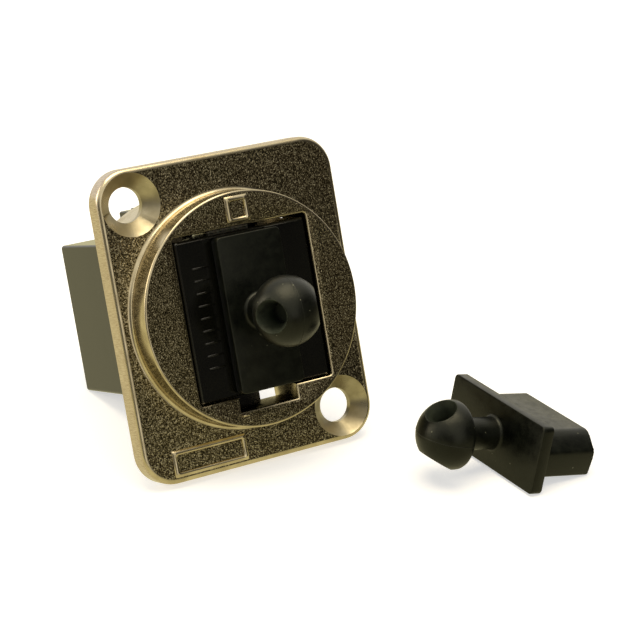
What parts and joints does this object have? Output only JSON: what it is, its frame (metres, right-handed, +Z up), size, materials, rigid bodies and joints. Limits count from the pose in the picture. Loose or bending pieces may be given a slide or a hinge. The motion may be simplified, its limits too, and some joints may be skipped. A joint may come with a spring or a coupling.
{
  "type": "panel feedthrough connector",
  "caption": "Panel feedthrough coupler: a snap-in insert with a stepped-D socket at each end in a flanged metal frame with a round boss, with rubber dust plugs.",
  "frame": {"origin": "centre of the flange's rear face, midway between the two screw holes; the module leans back on a table, so this face is tipped 18 degrees from upright", "axes": "+Z up from the table, +X to the right seen from the front, +Y away from the viewer; the module's own axis lies in the YZ plane, 18 degrees below +Y"},
  "size_m": [0.04, 0.0504, 0.0299],
  "materials": {
    "nickel_zinc": "nickel-plated zinc die casting, spark-grained face, smooth edges",
    "black_moulding": "glossy black ABS",
    "black_rubber": "matt moulded black rubber",
    "tinned_steel": "stamped, nickel-plated steel",
    "insulator_plastic": "black glass-filled nylon",
    "contact_metal": "gold-flashed phosphor bronze",
    "board": "green-masked glass-epoxy board",
    "solder": "reflowed solder"
  },
  "bodies": {
    "module": {"panel_frame": "nickel_zinc", "front_housing": "black_moulding", "rear_housing": "black_moulding", "circuit_board": "board", "left_shield": "tinned_steel", "right_shield": "tinned_steel", "front_socket_shell": "tinned_steel", "front_insulator": "insulator_plastic", "front_contact_spacer": "insulator_plastic", "front_wide_side_contacts": "contact_metal", "front_narrow_side_contacts": "contact_metal", "front_solder_joints": "solder", "rear_socket_shell": "tinned_steel", "rear_insulator": "insulator_plastic", "rear_contact_spacer": "insulator_plastic", "rear_wide_side_contacts": "contact_metal", "rear_narrow_side_contacts": "contact_metal", "rear_solder_joints": "solder"},
    "front_dust_plug": {"fitted_dust_plug": "black_rubber"},
    "latch": {"latch_arm": "black_moulding"},
    "spare_plug": {"spare_dust_plug": "black_rubber"}
  },
  "joints": [
    {"name": "dust_plug_pull", "type": "slide", "parent": "module", "child": "front_dust_plug", "axis": [0, -0.9506, 0.3104], "range_m": [0, 0.012]},
    {"name": "latch_press", "type": "hinge", "parent": "module", "child": "latch", "pos_m": [0, 0.0027, 0.00764], "axis": [-1, 0, 0], "range_deg": [0, 3.2], "stiffness_Nm_per_rad": 1},
    {"name": "spare_plug_lift", "type": "slide", "parent": "module", "child": "spare_plug", "axis": [0, 0, 1], "range_m": [0, 0.03]}
  ]
}
